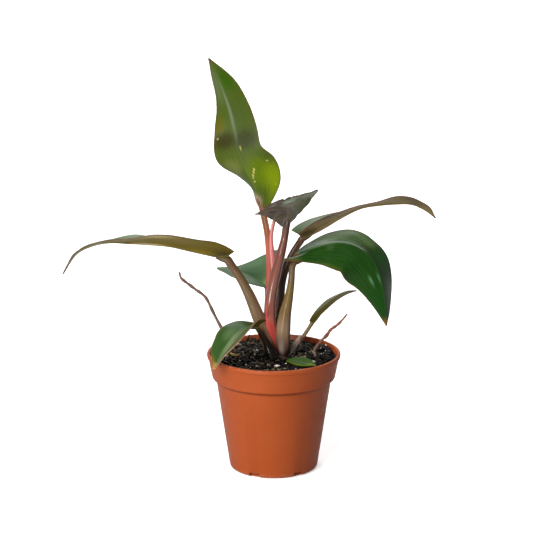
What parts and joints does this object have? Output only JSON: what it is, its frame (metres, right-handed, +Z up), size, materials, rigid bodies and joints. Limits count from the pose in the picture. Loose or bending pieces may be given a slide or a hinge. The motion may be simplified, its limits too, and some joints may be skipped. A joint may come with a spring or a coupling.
{
  "type": "potted philodendron plant",
  "caption": "Young philodendron with broad glossy leaves on arching pink, olive and brown stalks, growing from potting mix in a tapered plastic nursery pot.",
  "frame": {"origin": "middle of the pot's underside, on the surface that it stands on", "axes": "+Z up along the pot's axis; -Y towards the front of the plant, the side that the picture shows; +X to the right as seen from there"},
  "size_m": [0.3024, 0.1123, 0.3262],
  "materials": {
    "pot_plastic": "moulded, satin",
    "potting_mix": "rough, matte",
    "stem_bark": "matte",
    "stalk_salmon": "satin",
    "stalk_dusty_red": "glossy",
    "stalk_dark_brown": "satin",
    "stalk_olive": "glossy",
    "stalk_taupe": "satin",
    "stalk_grey_olive": "satin",
    "stalk_dark_olive": "satin",
    "stalk_beige": "satin",
    "leaf_bronze_green": "glossy, cream flecks",
    "leaf_purple_brown": "glossy",
    "leaf_olive_underside": "satin",
    "leaf_deep_green": "glossy",
    "leaf_grey_green": "glossy",
    "leaf_small_green": "glossy",
    "leaf_yellow_green": "satin",
    "new_leaf_pink": "glossy",
    "dried_scale": "papery, matte",
    "aerial_root_brown": "matte"
  },
  "bodies": {
    "root": {"pot": "pot_plastic", "soil": "potting_mix", "stem": "stem_bark", "stalk_A": "stalk_salmon", "stalk_B": "stalk_dusty_red", "stalk_C": "stalk_dark_brown", "stalk_D": "stalk_olive", "stalk_E": "stalk_taupe", "stalk_F": "stalk_grey_olive", "stalk_G": "stalk_dark_olive", "stalk_H": "stalk_beige", "blade_A": "leaf_bronze_green", "blade_B": "leaf_purple_brown", "blade_C": "leaf_olive_underside", "blade_D": "leaf_deep_green", "blade_E": "leaf_olive_underside", "blade_F": "leaf_grey_green", "blade_G": "leaf_small_green", "blade_H": "leaf_small_green", "blade_I": "leaf_yellow_green", "new_leaf": "new_leaf_pink", "bud_scale": "dried_scale", "aerial_root_left": "aerial_root_brown", "aerial_root_right": "aerial_root_brown"}
  },
  "joints": []
}
